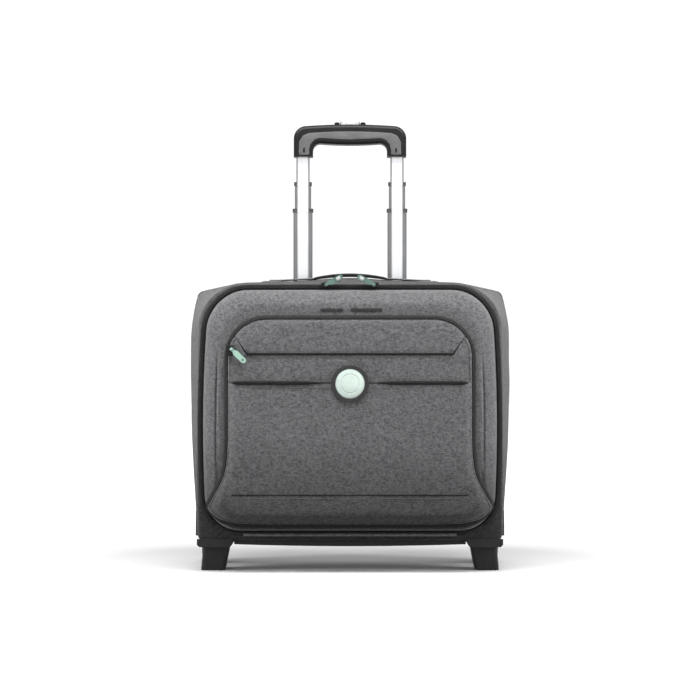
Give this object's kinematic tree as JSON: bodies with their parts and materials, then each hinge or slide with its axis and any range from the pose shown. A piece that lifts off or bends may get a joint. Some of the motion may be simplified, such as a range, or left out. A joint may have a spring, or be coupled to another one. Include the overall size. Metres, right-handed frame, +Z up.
{
  "type": "rolling laptop case",
  "caption": "Soft-sided laptop case on two wheels and two feet, with a telescoping trolley handle, a zipped lid, an organiser pocket and a short carry handle.",
  "frame": {"origin": "on the floor, under the middle of the whole case with its handle partly drawn out", "axes": "+Z up, +X to the right seen from the front, -Y out of the front pocket, +Y out of the back"},
  "size_m": [0.4252, 0.21, 0.595],
  "materials": {
    "heather_fabric": "heather-grey woven polyester, matt",
    "lining_fabric": "plain dark grey lining cloth",
    "black_fabric": "black woven polyester",
    "zip_tape": "black coil zipper on woven tape",
    "webbing": "black woven webbing",
    "woven_label": "plain dark woven strip",
    "black_plastic": "moulded black, fine grain",
    "board": "grey stiffening board",
    "grip_plastic": "dark grey moulded grip, satin",
    "silver_button": "silver painted",
    "steel": "bright steel",
    "tube_aluminium": "anodised, satin",
    "black_metal": "black enamelled zinc",
    "mint_rubber": "soft moulded pull, matt",
    "mint_plastic": "mint disc, satin",
    "badge_black": "black ring, satin",
    "wheel_plastic": "moulded hub",
    "tyre": "black rubber tread"
  },
  "bodies": {
    "root": {"main_shell": "heather_fabric", "inner_lining": "lining_fabric", "wire_frame": "steel", "divider_board": "board", "laptop_sleeve": "lining_fabric", "back_panel": "black_fabric", "stair_skids": "black_plastic", "base_tray": "black_plastic", "foot_left": "black_plastic", "foot_right": "black_plastic", "wheel_housing_left": "black_plastic", "wheel_housing_right": "black_plastic", "axles": "steel", "outer_tube_left": "tube_aluminium", "outer_tube_right": "tube_aluminium", "trolley_bezel": "black_plastic", "trolley_bracket": "black_plastic", "carry_straps": "heather_fabric", "carry_anchors": "black_plastic", "body_zip_tape": "zip_tape", "hinge_piping": "black_fabric"},
    "lid": {"lid_panel": "heather_fabric", "lid_zip_tape": "zip_tape", "organiser_gusset": "heather_fabric", "organiser_front": "heather_fabric", "slip_pocket": "heather_fabric", "badge_ring": "badge_black", "badge_disc": "mint_plastic", "label_strips": "woven_label"},
    "organiser_flap": {"organiser_flap": "heather_fabric"},
    "organiser_slider": {"organiser_slider": "black_metal"},
    "organiser_pull": {"organiser_pull": "mint_rubber"},
    "lower_stage": {"lower_tube_left": "tube_aluminium", "lower_tube_right": "tube_aluminium", "lower_collars": "black_plastic", "lower_shoes": "black_plastic"},
    "middle_stage": {"middle_tube_left": "tube_aluminium", "middle_tube_right": "tube_aluminium", "middle_collars": "black_plastic", "middle_shoes": "black_plastic"},
    "upper_stage": {"upper_tube_left": "tube_aluminium", "upper_tube_right": "tube_aluminium", "upper_shoes": "black_plastic", "trolley_grip": "grip_plastic", "button_springs": "steel"},
    "push_button": {"push_button": "silver_button", "push_rods": "steel"},
    "carry_grip": {"carry_grip": "webbing"},
    "lock_pin_left": {"lock_pin_left": "steel"},
    "wheel_left": {"wheel_hub_left": "wheel_plastic", "tyre_left": "tyre", "bearings_left": "steel"},
    "zip_slider_left": {"zip_slider_left": "black_metal"},
    "zip_pull_left": {"zip_pull_left": "mint_rubber"},
    "lock_pin_right": {"lock_pin_right": "steel"},
    "wheel_right": {"wheel_hub_right": "wheel_plastic", "tyre_right": "tyre", "bearings_right": "steel"},
    "zip_slider_right": {"zip_slider_right": "black_metal"},
    "zip_pull_right": {"zip_pull_right": "mint_rubber"}
  },
  "joints": [
    {"name": "lid_hinge", "type": "hinge", "parent": "root", "child": "lid", "pos_m": [0, -0.063, 0.047], "axis": [1, 0, 0], "range_deg": [0, 60]},
    {"name": "flap_hinge", "type": "hinge", "parent": "lid", "child": "organiser_flap", "pos_m": [0, -0.0973, 0.281], "axis": [1, 0, 0], "range_deg": [0, 80]},
    {"name": "organiser_zip", "type": "hinge", "parent": "lid", "child": "organiser_slider", "pos_m": [-0.108, -0.1, 0.277], "axis": [0, 1, 0], "range_deg": [0, 65]},
    {"name": "organiser_pull_swing", "type": "hinge", "parent": "organiser_slider", "child": "organiser_pull", "pos_m": [-0.151, -0.1026, 0.287], "axis": [-0.6947, 0, -0.7193], "range_deg": [0, 100]},
    {"name": "lower_stage_slide", "type": "slide", "parent": "root", "child": "lower_stage", "axis": [0, 0, 1], "range_m": [-0.1015, 0.0935]},
    {"name": "middle_stage_slide", "type": "slide", "parent": "lower_stage", "child": "middle_stage", "axis": [0, 0, 1], "range_m": [-0.0305, 0.1645]},
    {"name": "upper_stage_slide", "type": "slide", "parent": "middle_stage", "child": "upper_stage", "axis": [0, 0, 1], "range_m": [-0.0335, 0.1615]},
    {"name": "button_press", "type": "slide", "parent": "upper_stage", "child": "push_button", "axis": [0, 0, -1], "range_m": [0, 0.004], "stiffness_N_per_m": 600, "springref_m": -0.005, "deforming": ["button_springs"]},
    {"name": "carry_handle_lift", "type": "slide", "parent": "root", "child": "carry_grip", "axis": [0, 0, 1], "range_m": [0, 0.018], "deforming": ["carry_straps"]},
    {"name": "lock_pin_left_slide", "type": "slide", "parent": "upper_stage", "child": "lock_pin_left", "axis": [1, 0, 0], "range_m": [0, 0.0017]},
    {"name": "wheel_left_spin", "type": "hinge", "parent": "root", "child": "wheel_left", "pos_m": [-0.182, 0.068, 0.03], "axis": [1, 0, 0], "continuous": true},
    {"name": "main_zip_left", "type": "slide", "parent": "root", "child": "zip_slider_left", "axis": [-1, 0, 0], "range_m": [0, 0.1]},
    {"name": "zip_pull_left_swing", "type": "hinge", "parent": "zip_slider_left", "child": "zip_pull_left", "pos_m": [-0.031, -0.0696, 0.3704], "axis": [0.454, 0, -0.891], "range_deg": [0, 100]},
    {"name": "lock_pin_right_slide", "type": "slide", "parent": "upper_stage", "child": "lock_pin_right", "axis": [-1, 0, 0], "range_m": [0, 0.0017]},
    {"name": "wheel_right_spin", "type": "hinge", "parent": "root", "child": "wheel_right", "pos_m": [0.182, 0.068, 0.03], "axis": [1, 0, 0], "continuous": true},
    {"name": "main_zip_right", "type": "slide", "parent": "root", "child": "zip_slider_right", "axis": [1, 0, 0], "range_m": [0, 0.1]},
    {"name": "zip_pull_right_swing", "type": "hinge", "parent": "zip_slider_right", "child": "zip_pull_right", "pos_m": [0.031, -0.0696, 0.3704], "axis": [0.454, 0, 0.891], "range_deg": [0, 100]}
  ],
  "couplings": [
    {"joint": "lock_pin_left_slide", "follows": "button_press", "ratio": 0.4},
    {"joint": "lock_pin_right_slide", "follows": "button_press", "ratio": 0.4}
  ]
}
